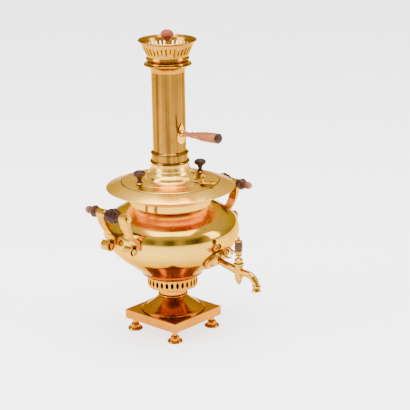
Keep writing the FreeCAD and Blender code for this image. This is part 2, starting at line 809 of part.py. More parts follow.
def spout_path():
    """The centre line of the spout in the YZ plane."""
    y0, z0 = -barrel_place, barrel_z
    reach = spout_reach
    b = V(0, y0 - reach * 0.42, z0 - 0.5)
    bend = Part.Arc(b, V(0, y0 - reach * 0.83, z0 - reach * 0.14), V(0, y0 - reach, z0 - reach * 0.46)).toShape()
    first, last = bend.ParameterRange
    turn = (last - first) / spout_bends
    points = [V(0, y0, z0)] + [bend.Curve.value(first + turn * i) for i in range(spout_bends + 1)]
    return Part.makePolygon(points)


def sweep(r, path):
    """A round bar along a path, mitred at its corners."""
    start, following = path.Vertexes[0].Point, path.Vertexes[1].Point
    circle = Part.Wire(Part.Circle(start, following - start, r).toShape())
    return path.makePipeShell([circle], True, True, 1)


def tap_body():
    """The cast tap: pipe, barrel for the plug, curved spout and flared mouth."""
    low = barrel_z - barrel_h / 2
    place = V(0, -barrel_place, 0)
    barrel = turned(
        (0, low), (barrel_r - 1.6, low), (barrel_r - 1.0, low + 3.0), (barrel_r, low + 5.0),
        (barrel_r, low + barrel_h - 5.0), (barrel_r + 1.4, low + barrel_h - 3.0),
        (barrel_r + 1.4, low + barrel_h), (0, low + barrel_h))
    barrel.translate(place)
    mouth_end = V(0, -barrel_place - spout_reach, barrel_z - spout_reach * 0.46)
    mouth = turned(
        (0, 1.0), (spout_r + 1.4, 1.0), (spout_r + 1.4, -1.4), (spout_r, -2.4),
        ((spout_r + 0.6, -mouth_h * 0.7), (mouth_r, -mouth_h - 2.0)), (0, -mouth_h - 2.0))
    mouth.translate(mouth_end)
    solid = barrel.fuse([pipe_solid(pipe_r), sweep(spout_r, spout_path()), mouth])
    bore = sweep(spout_r - spout_wall, spout_path())
    mouth_bore = Part.makeCone(mouth_r - spout_wall, spout_r - spout_wall, mouth_h + 2.2,
                               mouth_end - V(0, 0, mouth_h + 2.1))
    start, along, length = pipe_line()
    way = rod(way_r, length + stub_l + cut, start - along * (stub_l + cut), along)
    plug = plug_shape(slip * 0.15)
    return solid.cut([bore, mouth_bore, way, plug]).removeSplitter()


def plug_shape(gap):
    """The taper of the key's plug, or of the hole it turns in."""
    low = barrel_z - barrel_h / 2
    cone = Part.makeCone(plug_r - plug_taper + gap, plug_r + gap, barrel_h + 2 * (cut if gap else 0.0),
                         V(0, -barrel_place, low - (cut if gap else 0.0)))
    return cone


def tap_key():
    """The taper plug with its water way, bulb and the stem that carries the drum."""
    top = barrel_z + barrel_h / 2
    low = barrel_z - barrel_h / 2
    place = V(0, -barrel_place, 0)
    drum = top + key_drum_rise
    stem = turned(
        (0, top), (plug_r, top), (plug_r, top + 1.0), (plug_r + 2.4, top + 1.8),
        ((plug_r + 3.4, top + 6.0), (3.6, top + 10.4)), (3.2, top + 13.0),
        (key_drum_r - 0.6, top + 14.0), (key_drum_r - 0.6, top + 16.0), (3.2, top + 17.5), (3.2, drum - 2.0),
        (key_drum_r, drum - 1.4), (key_drum_r, drum), (2.4, drum), (2.4, drum + key_drum_h), (0, drum + key_drum_h))
    stem.translate(place)
    tail = rod(2.2, 9.0, V(0, -barrel_place, low - 9.0))
    plug = plug_shape(0.0).fuse([stem, tail])
    way = rod(way_r, 4 * plug_r, V(0, -barrel_place + 2 * plug_r, barrel_z), V(0, -1, 0))
    way.rotate(V(0, -barrel_place, 0), Z_AXIS, 90)
    return plug.cut(way).removeSplitter()


def key_drum():
    """The turned dark grip of the key."""
    z0 = barrel_z + barrel_h / 2 + key_drum_rise
    r, h = key_drum_r, key_drum_h
    drum = turned(
        (2.4, z0), (r, z0), ((r + 0.9, z0 + h * 0.5), (r, z0 + h)), (2.4, z0 + h))
    drum.translate(V(0, -barrel_place, 0))
    return drum


def key_spire():
    """The brass finial that holds the drum on its stem."""
    z0 = barrel_z + barrel_h / 2 + key_drum_rise + key_drum_h
    h = key_spire_h
    spire = turned(
        (0, z0), (key_drum_r - 0.4, z0), ((key_drum_r + 0.6, z0 + 1.3), (key_drum_r - 2.0, z0 + 2.6)),
        ((2.0, z0 + 3.8), (2.6, z0 + 5.4)), ((3.4, z0 + 7.0), (1.0, z0 + 9.4)), (0, z0 + h))
    spire.translate(V(0, -barrel_place, 0))
    return spire


def key_lever():
    """The cast scroll that points back from the key: a tongue and an open volute."""
    z = barrel_z + barrel_h / 2 + 17.5 - volute_r + 7.6 + 3.0
    y = -barrel_place
    half = lever_t / 2
    centre_y = y + lever_reach
    centre_z = z - 3.0

    def curl(r, w, cy, cz):
        outer = rod(r, lever_t, V(-half, cy, cz), V(1, 0, 0))
        return outer.cut(rod(r - w, lever_t + 2 * cut, V(-half - cut, cy, cz), V(1, 0, 0)))

    big = curl(volute_r, 3.0, centre_y, centre_z)
    small = curl(volute_r * 0.56, 2.2, centre_y + volute_r * 0.36, centre_z)
    mouth = Part.makeBox(lever_t + 2 * cut, volute_r, volute_r * 0.5,
                         V(-half - cut, centre_y - volute_r * 1.02, centre_z - volute_r * 0.62))
    eye = rod(2.6, lever_t + 1.6, V(-half - 0.8, centre_y + volute_r * 0.36, centre_z), V(1, 0, 0))
    bar = Part.makeBox(2.4, volute_r * 0.8, 1.8, V(-1.2, centre_y - volute_r * 0.2, centre_z - 0.9))
    tongue = Part.makeBox(lever_t, lever_reach - volute_r * 0.6, 3.4,
                          V(-half, y, centre_z + volute_r - 7.6))
    hub = rod(key_drum_r - 0.8, 3.4, V(0, y, centre_z + volute_r - 7.6))
    lever = big.cut(mouth).fuse([small, eye, bar, tongue, hub])
    lever = lever.cut(rod(3.2, 40.0, V(0, y, z - 20.0)))
    return lever.removeSplitter()


def key_nut():
    """The nut and washer that pull the plug into its taper."""
    low = barrel_z - barrel_h / 2
    nut = turned(
        (2.2, low - 1.0 - 5.5), (4.0, low - 6.5), (4.0, low - 2.6), (5.6, low - 2.6), (5.6, low - 0.6),
        (2.2, low - 0.6))
    nut.translate(V(0, -barrel_place, 0))
    return nut


def tap_back_nut():
    """The nut inside the vessel that clamps the tap's pipe."""
    start, along, length = pipe_line()
    nut = ring(pipe_r - 0.8, back_nut_r, 0, back_nut_h)
    return lay(nut, along * -1.0, start - along * (stub_l - back_nut_h))


# Write the pieces
feet = {"foot_front_left": (-1, -1), "foot_front_right": (1, -1), "foot_rear_left": (-1, 1), "foot_rear_right": (1, 1)}
for name, (sx, sy) in feet.items():
    piece = foot()
    place = plinth_side / 2 - foot_inset
    piece.translate(V(sx * place, sy * place, 0))
    save(name, piece)

save("plinth", plinth())
save("pedestal", pedestal())
save("tie_rod", tie_rod())
save("tie_nut", tie_nut())
save("air_gallery", air_gallery())
save("base_bowl", base_bowl())
save("body_shell", body_shell())
save("water_floor", water_floor())
save("fire_tube", fire_tube())
save("fire_grate", fire_grate())
save("top_brim", top_brim())
save("lid", lid())
for name, place in zip(("left", "right"), lid_knob_places()):
    save("lid_knob_" + name, lid_knob(place))
    save("lid_knob_screw_" + name, lid_knob_screw(place))
save("vent_cover", vent_cover())
save("vent_knob", vent_knob())
save("chimney_tube", chimney_tube())
save("chimney_collar", chimney_collar())
save("grip_shield", grip_shield())
save("grip_ferrule", grip_ferrule())
save("chimney_grip", chimney_grip())
save("grip_cap", grip_cap())
save("drip_ring", drip_ring())
save("crown", crown())
save("damper_cap", damper_cap())
save("damper_knob", damper_knob())

for name, side in (("left", -1), ("right", 1)):
    save("handle_strap_" + name + "_front", handle_strap(side, -strap_place * side))
    save("handle_strap_" + name + "_rear", handle_strap(side, strap_place * side))
    save("strap_rivets_" + name, strap_rivets(side))
    save("handle_grip_" + name, grip_profile(side))
    save("handle_cups_" + name, cups(side))
    save("handle_end_knob_" + name + "_rear", end_knob(side, 1))
reach = strap_place + strap_w / 2
far = reach + end_knob_l - 10.0
save("handle_rod_left", handle_rod(-1, -reach - 5.0, far))
save("handle_rod_right", handle_rod(1, -far, far))
save("handle_end_nut_left", end_nut(-1, -1))
save("handle_end_knob_right_front", end_knob(1, -1))

save("tap_plate", tap_plate())
save("tap_body", tap_body())
save("tap_back_nut", tap_back_nut())
save("tap_key", tap_key())
save("key_drum", key_drum())
save("key_spire", key_spire())
save("key_lever", key_lever())
save("key_nut", key_nut())
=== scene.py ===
import json
import math

import bmesh
import bpy
from mathutils import Matrix, Vector


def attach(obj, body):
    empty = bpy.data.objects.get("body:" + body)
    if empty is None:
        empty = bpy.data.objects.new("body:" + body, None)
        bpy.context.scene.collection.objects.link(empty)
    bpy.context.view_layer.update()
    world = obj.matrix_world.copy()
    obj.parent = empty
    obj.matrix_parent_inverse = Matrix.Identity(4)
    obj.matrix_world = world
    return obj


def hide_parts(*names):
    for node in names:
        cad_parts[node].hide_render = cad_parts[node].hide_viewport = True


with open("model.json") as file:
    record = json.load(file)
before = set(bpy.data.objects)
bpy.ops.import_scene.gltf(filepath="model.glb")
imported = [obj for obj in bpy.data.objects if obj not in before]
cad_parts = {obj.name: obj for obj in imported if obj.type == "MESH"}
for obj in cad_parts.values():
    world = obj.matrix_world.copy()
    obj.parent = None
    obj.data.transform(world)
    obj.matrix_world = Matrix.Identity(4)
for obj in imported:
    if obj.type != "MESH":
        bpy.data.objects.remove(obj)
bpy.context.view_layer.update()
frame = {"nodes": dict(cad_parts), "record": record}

MM = 0.001
ORIGIN = Vector((0, 0, 0))
ALONG = Vector((0, 1, 0))
UP = Vector((0, 0, 1))
TURN_STEPS = 144                     # flats round a turned piece
CURVE_STEPS = 7                      # flats between two points of a smooth outline
ON_AXIS = 1e-4                       # a radius below this is a point on the axis
SHARP = math.radians(32)             # edges steeper than this stay sharp

# Camera of the photograph: bearing, height angle, roll, distance and picture scale
VIEW_BEARING = math.radians(-48)
VIEW_HEIGHT = math.radians(17)
VIEW_ROLL = math.radians(-0.9)
VIEW_DISTANCE = 2.631
VIEW_TARGET_Z = 0.240
VIEW_SIDE = 0.0626
SENSOR = 36.0
FOCAL_PIXELS = 1430
PICTURE_PIXELS = 410

# Places shared with the solids, in millimetres and degrees
FOOT_PLACE = 51.0
SHELL_FOOT_Z = 119.5
NECK_R = 75.0
NECK_INNER_R = 73.2
SEAT_Z = 286.0
LID_TOP_Z = 324.4
LID_KNOB_R = 66.0
LID_KNOB_Z = 293.05
LID_KNOB_TURN = 14.0
VENT_R = 73.0
VENT_Z = 294.575
VENT_AZIMUTH = -83.0
STEAM_R = 57.0
STEAM_HOLE_R = 4.5
STEAM_HOLE_LOW_Z = 270
STEAM_HOLE_HIGH_Z = 310
COLUMN_R = 30.4
CAP_STEM_Z = 546.4
GRIP_Z = 381.4
GRIP_AZIMUTH = -93.0
GRIP_TILT = 4.0
HANDLE_X = 148.0
HANDLE_Z = 256.0
BARREL_Y = -163.0
TAP_ROOT = Vector((0.0, -106.27, 158.9))
TAP_FACING = Vector((0.0, -math.sqrt(0.5), -math.sqrt(0.5)))

# Pearls round the tap's plate, in millimetres
PEARLS = 30
PEARL_RING = 24.2
PEARL_R = 1.9
PEARL_RISE = 3.6
PEARL_SEGMENTS = 14
PEARL_RINGS = 9

# Half outlines as (radius, height) in millimetres: a tuple is a corner, a list a smooth curve
FOOT = [
    (0, 0), (13.4, 0), [(14.4, 1.6), (13.2, 4.0)], (9.6, 4.8), (9.0, 5.4), [(7.7, 10.9), (4.6, 13.5)],
    (4.6, 19.0), (6.2, 20.5), (6.2, 38.0), (0, 38.0)]
PEDESTAL = [
    (55.5, 40.5), (59.5, 40.5), (59.5, 42.9), (58.9, 43.5), (56.9, 43.7), [(55.1, 45.1), (53.1, 44.7)],
    (50.5, 46.1), [(39.0, 54.6), (29.5, 62.6), (25.0, 67.0)], [(28.0, 70.0), (25.0, 73.0)], (25.0, 87.0),
    (4.4, 87.0), (4.4, 85.2), (23.2, 85.2), (23.2, 66.0), (31.0, 58.0), (49.5, 44.1)]
BOWL = [
    (37.5, 108.0), (49.5, 108.0), [(57.0, 112.8), (60.0, 118.0)], (60.0, SHELL_FOOT_Z), (58.2, SHELL_FOOT_Z),
    (57.2, 117.0), (48.5, 109.8), (37.5, 109.8)]
VESSEL = [
    (61.6, SHELL_FOOT_Z), (62.6, 120.7),
    [(88.5, 141.5), (106.5, 157.5), (121.1, 177.5), (125.7, 195.5), (120.9, 215.5), (106.7, 229.0),
     (91.5, 238.2), (NECK_R, 247.5)],
    (NECK_R, SEAT_Z), (NECK_INNER_R, SEAT_Z), (NECK_INNER_R, 246.0),
    [(105.0, 228.0), (119.3, 214.5), (123.9, 195.5), (118.4, 177.5), (102.0, 156.0), (59.8, 121.0)]]
BRIM = [
    (NECK_R, SEAT_Z), (90.3, SEAT_Z), (90.3, 288.2), (117.2, 279.2), [(118.4, 278.0), (117.2, 276.7)],
    (94.0, 284.8), [(86.5, 276.8), (82.5, 265.9)], [(84.0, 263.7), (81.5, 261.9)], (76.8, 259.7),
    (NECK_R, 259.7)]
LID = [
    (72.85, SEAT_Z), (88.6, SEAT_Z), (88.6, 288.8), (87.9, 289.5), (65.6, 292.3), (65.0, 293.0),
    (56.4, 294.0), (55.8, 294.3), (48.6, 294.5), (46.5, 296.3), (45.6, 299.3), (44.6, 301.7),
    [(40.0, 305.7), (37.8, 311.3)], (36.4, 312.3), [(34.8, 317.9), (33.8, LID_TOP_Z)],
    (31.35, LID_TOP_Z), (31.35, 311.5), (42.1, 298.5), (48.0, 292.7), (71.05, 288.3), (71.05, 281.0),
    (72.85, 281.0)]
STEAM_HOLE = [
    (0, STEAM_HOLE_LOW_Z), (STEAM_HOLE_R, STEAM_HOLE_LOW_Z), (STEAM_HOLE_R, STEAM_HOLE_HIGH_Z),
    (0, STEAM_HOLE_HIGH_Z)]
LID_KNOB = [
    (0, 2.4), (6.0, 2.4), [(3.7, 6.0), (4.4, 10.0), (6.4, 13.6), (9.9, 16.0), (11.4, 19.5),
                           (9.8, 22.6), (5.7, 24.6), (0, 25.0)]]
VENT_KNOB = [
    (0, 1.6), (5.4, 1.6), [(2.4, 4.4), (2.2, 8.5)], (3.4, 9.4), (2.8, 10.2),
    [(5.4, 13.2), (3.4, 16.2), (0, 17.0)]]
COLLAR = [
    (COLUMN_R, LID_TOP_Z), (35.4, LID_TOP_Z), [(36.4, 326.3), (35.4, 328.2)], (33.0, 329.0), (33.0, 340.8),
    [(35.0, 342.6), (33.0, 344.4)], (31.4, 345.9), (COLUMN_R, 347.4)]
DRIP_RING = [
    (26.4, 479.4), (28.2, 479.4), (28.2, 491.4), (COLUMN_R, 491.4),
    [(31.6, 496.5), (35.0, 501.0), (42.5, 503.8)], [(43.5, 505.1), (42.5, 506.4)], (39.0, 507.2),
    [(38.4, 509.2), (36.5, 511.0)], (31.5, 511.4), (26.4, 511.4)]
CAP = [
    (0, 513.4), (29.0, 513.4), (29.0, 515.0), [(23.5, 518.6), (15.5, 523.8), (7.0, 528.4)], (4.0, 529.4),
    (4.0, CAP_STEM_Z), (2.6, CAP_STEM_Z), (2.6, 556.4), (0, 556.4)]
CAP_KNOB = [
    (0, CAP_STEM_Z), (4.0, CAP_STEM_Z),
    [(5.8, 549.4), (10.2, 553.8), (12.0, 558.7), (9.2, 563.6), (4.8, 566.2), (0, 566.9)]]
CHIMNEY_GRIP = [
    (0, 10.3), (4.6, 10.3), (4.4, 27.3), (6.0, 29.3), (5.2, 31.3),
    [(7.4, 48.0), (8.8, 64.0), (9.2, 82.0), (8.9, 88.3), (7.8, 91.3)], (0, 91.3)]
GRIP_CAP = [
    (0, 91.3), (7.2, 91.3), (7.2, 92.7), [(9.3, 94.4), (7.8, 96.3)], [(4.6, 99.3), (0, 99.9)]]
HANDLE_GRIP = [
    (3.0, -16.5), (7.6, -16.5), [(9.5, -14.0), (7.2, -10.7)], [(12.0, -7.8), (9.2, -4.5)],
    [(14.0, 0), (9.2, 4.5)], [(12.0, 7.8), (7.2, 10.7)], [(9.5, 14.0), (7.6, 16.5)], (3.0, 16.5)]
HANDLE_END = [
    (3.0, 36.5), (7.0, 36.5), [(8.4, 38.5), (6.6, 40.5)], [(9.6, 43.6), (11.0, 47.1), (6.4, 55.0)],
    [(7.2, 59.0), (6.6, 64.0), (4.0, 67.9), (0, 69.5)]]
KEY_DRUM = [(2.4, 187.0), (6.6, 187.0), [(7.5, 195.5), (6.6, 204.0)], (2.4, 204.0)]
KEY_SPIRE = [
    (0, 204.0), (6.2, 204.0), [(7.2, 205.3), (4.6, 206.6)],
    [(2.0, 207.8), (2.6, 209.4), (3.4, 211.0), (1.0, 213.4)], (0, 216.0)]
PLATE_EDGE = [(20.5, -6.0), (23.9, -6.0), (24.2, 1.4), (24.2, 5.6), (22.6, 6.6), (20.5, 5.6)]

# Brass: colours are linear, each shine is (smoothest, roughest, line strength)
EDGE_TINT = (0.92, 0.66, 0.34, 1)
BRIGHT = (0.68, 0.38, 0.034)
DEEP = (0.45, 0.225, 0.014)
# The stain colour serves the stain spots and also the painted shade in recesses
STAIN_AND_SHADE = (0.13, 0.052, 0.010)
# The belly's tint towards the bottom is a painted reflection of a warm surface below it
BELLY_PAINTED_REFLECTION = (0.125, 0.176, (0.42, 0.155, 0.025))
FOOT_WARMTH = (0.0, 0.4, (0.72, 0.44, 0.17))
PATCH_SCALE = 14
SPOT_SCALE = 95
HOLLOW_REACH = 0.008
HOLLOW_SAMPLES = 6
LATHE_DEPTH = 0.0002
DRAWN_STRETCH = 0.012

# Wood and iron: scales of grain, pores and worn patches
GRAIN_SCALE = 260
PORE_SCALE = 900
WEAR_SCALE = 70
WOOD_SHEEN = 0.14
WOOD_COAT = 0.04
WOOD_COAT_ROUGHNESS = 0.2
GRAIN_DEPTH = 0.0003
PALE_TIP = (0.054, 0.066, (0.30, 0.12, 0.05))
IRON_GRAIN_SCALE = 420
IRON_DARK = (0.035, 0.028, 0.024)
IRON_LIGHT = (0.12, 0.09, 0.07)
IRON_ROUGHNESS = 0.72
IRON_METAL = 0.6
IRON_DEPTH = 0.0004
BLACK = (0, 0, 0)
WHITE = (1, 1, 1)

# Studio
FLOOR_HALF = 14.0
FLOOR_PATCH_SCALE = 3.0
FLOOR_LOW = (0.86, 0.855, 0.85)
FLOOR_HIGH = (0.90, 0.895, 0.89)
FLOOR_ROUGHNESS = 0.7
FLOOR_GLOW_TINT = (1.0, 0.995, 0.985, 1)
FLOOR_GLOW = 2.25
ROOM_STRENGTH = 1.05
LIGHT_AIM = Vector((0, 0, 0.28))
LEFT_POWER = 72
RIGHT_POWER = 46
TOP_POWER = 150


def smooth_run(points):
    """Points of a curve through the given ones, first point left out."""
    ends = [points[0] * 2 - points[1]] + points + [points[-1] * 2 - points[-2]]
    run = []
    for a, b, c, d in zip(ends, ends[1:], ends[2:], ends[3:]):
        for i in range(1, CURVE_STEPS + 1):
            t = i / CURVE_STEPS
            run.append(0.5 * ((2 * b) + (c - a) * t + (2 * a - 5 * b + 4 * c - d) * t ** 2
                              + (3 * b - a - 3 * c + d) * t ** 3))
    return run


def outline(steps):
    """The points of a half outline, with its smooth curves filled in."""
    points = [Vector(steps[0])]
    for step in steps[1:]:
        if isinstance(step, list):
            points += smooth_run([points[-1]] + [Vector(p) for p in step])
        else:
            points.append(Vector(step))
    return points


def new_piece(name, mesh, body, finish, nodes=()):
    """A finished piece that rides on a body and may stand for solids."""
    piece = bpy.data.objects.new(name, mesh)
    bpy.context.scene.collection.objects.link(piece)
    mesh.materials.append(finish)
    if nodes:
        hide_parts(*nodes)
    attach(piece, body)
    return piece


def turned_mesh(name, steps, axis=UP, place=ORIGIN, closed=False):
    """A mesh turned about an axis from a half outline in millimetres."""
    turn = Matrix.Translation(place * MM) @ UP.rotation_difference(axis).to_matrix().to_4x4()
    grid = bmesh.new()
    rows = []
    for p in outline(steps):
        if p.x < ON_AXIS:
            rows.append([grid.verts.new(turn @ Vector((0, 0, p.y * MM)))])
            continue
        row = []
        for i in range(TURN_STEPS):
            a = 2 * math.pi * i / TURN_STEPS
            row.append(grid.verts.new(turn @ (Vector((p.x * math.cos(a), p.x * math.sin(a), p.y)) * MM)))
        rows.append(row)
    pairs = list(zip(rows, rows[1:]))
    if closed:
        pairs.append((rows[-1], rows[0]))
    for low, high in pairs:
        for i in range(TURN_STEPS):
            k = (i + 1) % TURN_STEPS
            if len(low) > 1 and len(high) > 1:
                grid.faces.new((low[i], low[k], high[k], high[i]))
            elif len(high) > 1:
                grid.faces.new((low[0], high[k], high[i]))
            elif len(low) > 1:
                grid.faces.new((low[i], low[k], high[0]))
    bmesh.ops.recalc_face_normals(grid, faces=grid.faces)
    mesh = bpy.data.meshes.new(name)
    grid.to_mesh(mesh)
    grid.free()
    mesh.shade_smooth()
    mesh.set_sharp_from_angle(angle=SHARP)
    return mesh


def turned(name, steps, body, finish, stands_for, closed=False, axis=UP, place=ORIGIN):
    """A smooth turned piece that stands for the solid of the same shape."""
    mesh = turned_mesh(name, steps, axis, place, closed)
    return new_piece(name, mesh, body, finish, (stands_for,))


def polar(r, degrees, z):
    """A point from its distance to the axis, its azimuth and its height."""
    a = math.radians(degrees)
    return Vector((r * math.cos(a), r * math.sin(a), z))


def new_material(name):
    """A material with its node tree, its shader and its object coordinates."""
    material = bpy.data.materials.new(name)
    material.use_nodes = True
    tree = material.node_tree
    place = tree.nodes.new("ShaderNodeTexCoord").outputs["Object"]
    return material, tree, tree.nodes["Principled BSDF"], place


def node(tree, kind, **values):
    """A shader node with its settings and constant inputs."""
    made = tree.nodes.new("ShaderNode" + kind)
    for key, value in values.items():
        if hasattr(made, key):
            setattr(made, key, value)
        else:
            made.inputs[key.replace("_", " ")].default_value = value
    return made


def ramp(tree, source, stops):
    """A colour ramp fed by a value."""
    made = tree.nodes.new("ShaderNodeValToRGB")
    bar = made.color_ramp.elements
    while len(bar) < len(stops):
        bar.new(0.5)
    for element, (position, colour) in zip(bar, stops):
        element.position = position
        element.color = (*colour, 1)
    tree.links.new(source, made.inputs["Fac"])
    return made.outputs["Color"]


def mix(tree, factor, first, second, way="MIX"):
    """Two colours mixed by a factor, each a socket or a constant."""
    made = tree.nodes.new("ShaderNodeMix")
    made.data_type = "RGBA"
    made.blend_type = way
    for key, value in ((0, factor), (6, first), (7, second)):
        if hasattr(value, "is_output"):
            tree.links.new(value, made.inputs[key])
        else:
            made.inputs[key].default_value = value if key == 0 else (*value, 1)
    return made.outputs[2]


def scaled(tree, source, factors):
    """A vector multiplied by three factors."""
    made = node(tree, "VectorMath", operation="MULTIPLY")
    made.inputs[1].default_value = factors
    tree.links.new(source, made.inputs[0])
    return made.outputs[0]


def noise(tree, vector, scale, detail=4.0, rough=0.55):
    """Noise over a vector."""
    made = node(tree, "TexNoise", Scale=scale, Detail=detail, Roughness=rough)
    tree.links.new(vector, made.inputs["Vector"])
    return made.outputs["Fac"]


def ring_lines(tree, place):
    """Coordinates that change only across the rings a lathe leaves."""
    length = node(tree, "VectorMath", operation="LENGTH")
    tree.links.new(scaled(tree, place, (1, 1, 0)), length.inputs[0])
    split = node(tree, "SeparateXYZ")
    tree.links.new(place, split.inputs[0])
    join = node(tree, "CombineXYZ")
    tree.links.new(length.outputs["Value"], join.inputs["X"])
    tree.links.new(split.outputs["Z"], join.inputs["Z"])
    return join.outputs[0]


def upright_lines(tree, place):
    """Coordinates that hardly change along a drawn tube."""
    return scaled(tree, place, (1, 1, DRAWN_STRETCH))


def share_along(tree, place, axis, low, high):
    """How far a point is from low to high along Z, or outwards along Y, from 0 to 1."""
    split = node(tree, "SeparateXYZ")
    tree.links.new(place, split.inputs[0])
    source = split.outputs[axis]
    if axis == "Y":
        size = node(tree, "Math", operation="ABSOLUTE")
        tree.links.new(source, size.inputs[0])
        source = size.outputs[0]
    made = node(tree, "MapRange", From_Min=low, From_Max=high)
    tree.links.new(source, made.inputs["Value"])
    return made.outputs["Result"]


def bumped(tree, shader, height, strength, depth):
    """A bump of a given depth on the shader's normal."""
    bump = node(tree, "Bump", Strength=strength, Distance=depth)
    tree.links.new(height, bump.inputs["Height"])
    tree.links.new(bump.outputs["Normal"], shader.inputs["Normal"])


def brass(name, bright, deep, stain_and_shade, shine, lines=ring_lines, line_scale=900, line_share=0.28,
          stain_share=0.5, lower_tint=None):
    """Worn polished brass: lathe or drawing lines, patches of tone, stain spots, painted shade in recesses
    and an optional tint towards the bottom.
    """
    material, tree, shader, place = new_material(name)
    smoothest, roughest, line_strength = shine
    line = noise(tree, lines(tree, place), line_scale, 3.0)
    patch = noise(tree, place, PATCH_SCALE, 5.0, 0.6)
    spot = noise(tree, place, SPOT_SCALE, 6.0, 0.65)
    tone = ramp(tree, patch, [(0.30, deep), (0.62, bright)])
    tone = mix(tree, line_share, tone, ramp(tree, line, [(0.35, deep), (0.65, bright)]))
    spots = ramp(tree, spot, [(0.56, BLACK), (0.80, (0.7, 0.7, 0.7))])
    tone = mix(tree, mix(tree, 1.0, spots, (stain_share,) * 3, "MULTIPLY"), tone, stain_and_shade)
    # Tint towards the bottom; on the body this is a painted reflection of a warm surface below
    if lower_tint:
        low, high, tint = lower_tint
        rise = share_along(tree, place, "Z", low, high)
        tone = mix(tree, rise, mix(tree, 1.0, tone, tint, "MULTIPLY"), tone)
    # Painted shade: recesses found by ambient occlusion are darkened towards the stain colour
    hollow = node(tree, "AmbientOcclusion", samples=HOLLOW_SAMPLES, Distance=HOLLOW_REACH)
    painted_recess_shade = ramp(tree, hollow.outputs["AO"], [(0.25, WHITE), (0.80, BLACK)])
    tree.links.new(mix(tree, painted_recess_shade, tone, stain_and_shade), shader.inputs["Base Color"])
    gloss = node(tree, "MapRange", From_Min=0.3, From_Max=0.7, To_Min=smoothest, To_Max=roughest)
    tree.links.new(patch, gloss.inputs["Value"])
    tree.links.new(gloss.outputs["Result"], shader.inputs["Roughness"])
    shader.inputs["Metallic"].default_value = 1.0
    shader.inputs["Specular Tint"].default_value = EDGE_TINT
    bumped(tree, shader, line, line_strength, LATHE_DEPTH)
    return material


def wood(name, dark, light, wear, stretch, gloss=0.32, tip=None):
    """Turned and oiled wood: long grain, darker pores and worn high spots."""
    material, tree, shader, place = new_material(name)
    grain = noise(tree, scaled(tree, place, stretch), GRAIN_SCALE, 6.0, 0.6)
    pores = noise(tree, scaled(tree, place, stretch), PORE_SCALE, 2.0)
    patch = noise(tree, place, WEAR_SCALE, 4.0)
    tone = ramp(tree, grain, [(0.32, dark), (0.70, light)])
    tone = mix(tree, ramp(tree, pores, [(0.60, BLACK), (0.75, (0.6, 0.6, 0.6))]), tone, dark)
    tone = mix(tree, ramp(tree, patch, [(0.55, BLACK), (0.75, (0.8, 0.8, 0.8))]), tone, wear)
    if tip:
        start, end, colour = tip
        tone = mix(tree, share_along(tree, place, "Y", start, end), tone, colour)
    tree.links.new(tone, shader.inputs["Base Color"])
    shader.inputs["Roughness"].default_value = gloss
    shader.inputs["Specular IOR Level"].default_value = WOOD_SHEEN
    shader.inputs["Coat Weight"].default_value = WOOD_COAT
    shader.inputs["Coat Roughness"].default_value = WOOD_COAT_ROUGHNESS
    bumped(tree, shader, grain, 0.25, GRAIN_DEPTH)
    return material


def iron(name):
    """Raw cast iron with a fine grain."""
    material, tree, shader, place = new_material(name)
    grain = noise(tree, place, IRON_GRAIN_SCALE, 5.0)
    tone = ramp(tree, grain, [(0.3, IRON_DARK), (0.7, IRON_LIGHT)])
    tree.links.new(tone, shader.inputs["Base Color"])
    shader.inputs["Roughness"].default_value = IRON_ROUGHNESS
    shader.inputs["Metallic"].default_value = IRON_METAL
    bumped(tree, shader, grain, 0.4, IRON_DEPTH)
    return material


# Finishes
body_brass = brass("body_brass", BRIGHT, DEEP, STAIN_AND_SHADE, shine=(0.08, 0.19, 0.07), stain_share=0.35,
                   lower_tint=BELLY_PAINTED_REFLECTION)
foot_brass = brass("foot_brass", BRIGHT, DEEP, STAIN_AND_SHADE, shine=(0.13, 0.26, 0.10), lower_tint=FOOT_WARMTH)
satin_brass = brass("satin_brass", bright=(1.0, 0.58, 0.090), deep=(0.86, 0.44, 0.046), stain_and_shade=STAIN_AND_SHADE,
                    shine=(0.22, 0.33, 0.35), line_scale=1600, stain_share=0.25)
# Painted shade: the chimney's brass is a much darker copy of the body's brass, standing in for dim
# reflections on the chimney
column_painted_shade_brass = brass("column_painted_shade_brass", bright=(0.29, 0.130, 0.014), deep=(0.050, 0.019, 0.002),
                     stain_and_shade=(0.05, 0.020, 0.005), shine=(0.10, 0.22, 0.12), lines=upright_lines,
                     line_scale=150, line_share=0.75, stain_share=0.6)
crown_brass = brass("crown_brass", bright=(0.46, 0.21, 0.014), deep=(0.24, 0.095, 0.006),
                    stain_and_shade=(0.07, 0.028, 0.006), shine=(0.12, 0.24, 0.08))
cast_brass = brass("cast_brass", bright=(0.62, 0.32, 0.026), deep=(0.32, 0.14, 0.009),
                   stain_and_shade=(0.08, 0.032, 0.007), shine=(0.14, 0.28, 0.06), line_scale=300, stain_share=0.6)
dark_brass = brass("dark_brass", bright=(0.40, 0.23, 0.07), deep=(0.20, 0.10, 0.03),
                   stain_and_shade=(0.05, 0.025, 0.01), shine=(0.30, 0.45, 0.10))
tinned_brass = brass("tinned_brass", bright=(0.62, 0.57, 0.48), deep=(0.42, 0.36, 0.28),
                     stain_and_shade=(0.12, 0.09, 0.06), shine=(0.38, 0.55, 0.10))
grip_wood = wood("grip_wood", dark=(0.010, 0.003, 0.002), light=(0.062, 0.017, 0.009),
                 wear=(0.17, 0.048, 0.022), stretch=(1, 0.16, 1))
end_wood = wood("end_wood", dark=(0.014, 0.005, 0.003), light=(0.10, 0.030, 0.013),
                wear=(0.22, 0.075, 0.028), stretch=(1, 0.16, 1), tip=PALE_TIP)
knob_wood = wood("knob_wood", dark=(0.012, 0.005, 0.003), light=(0.062, 0.021, 0.009),
                 wear=(0.11, 0.037, 0.015), stretch=(1, 1, 0.2))
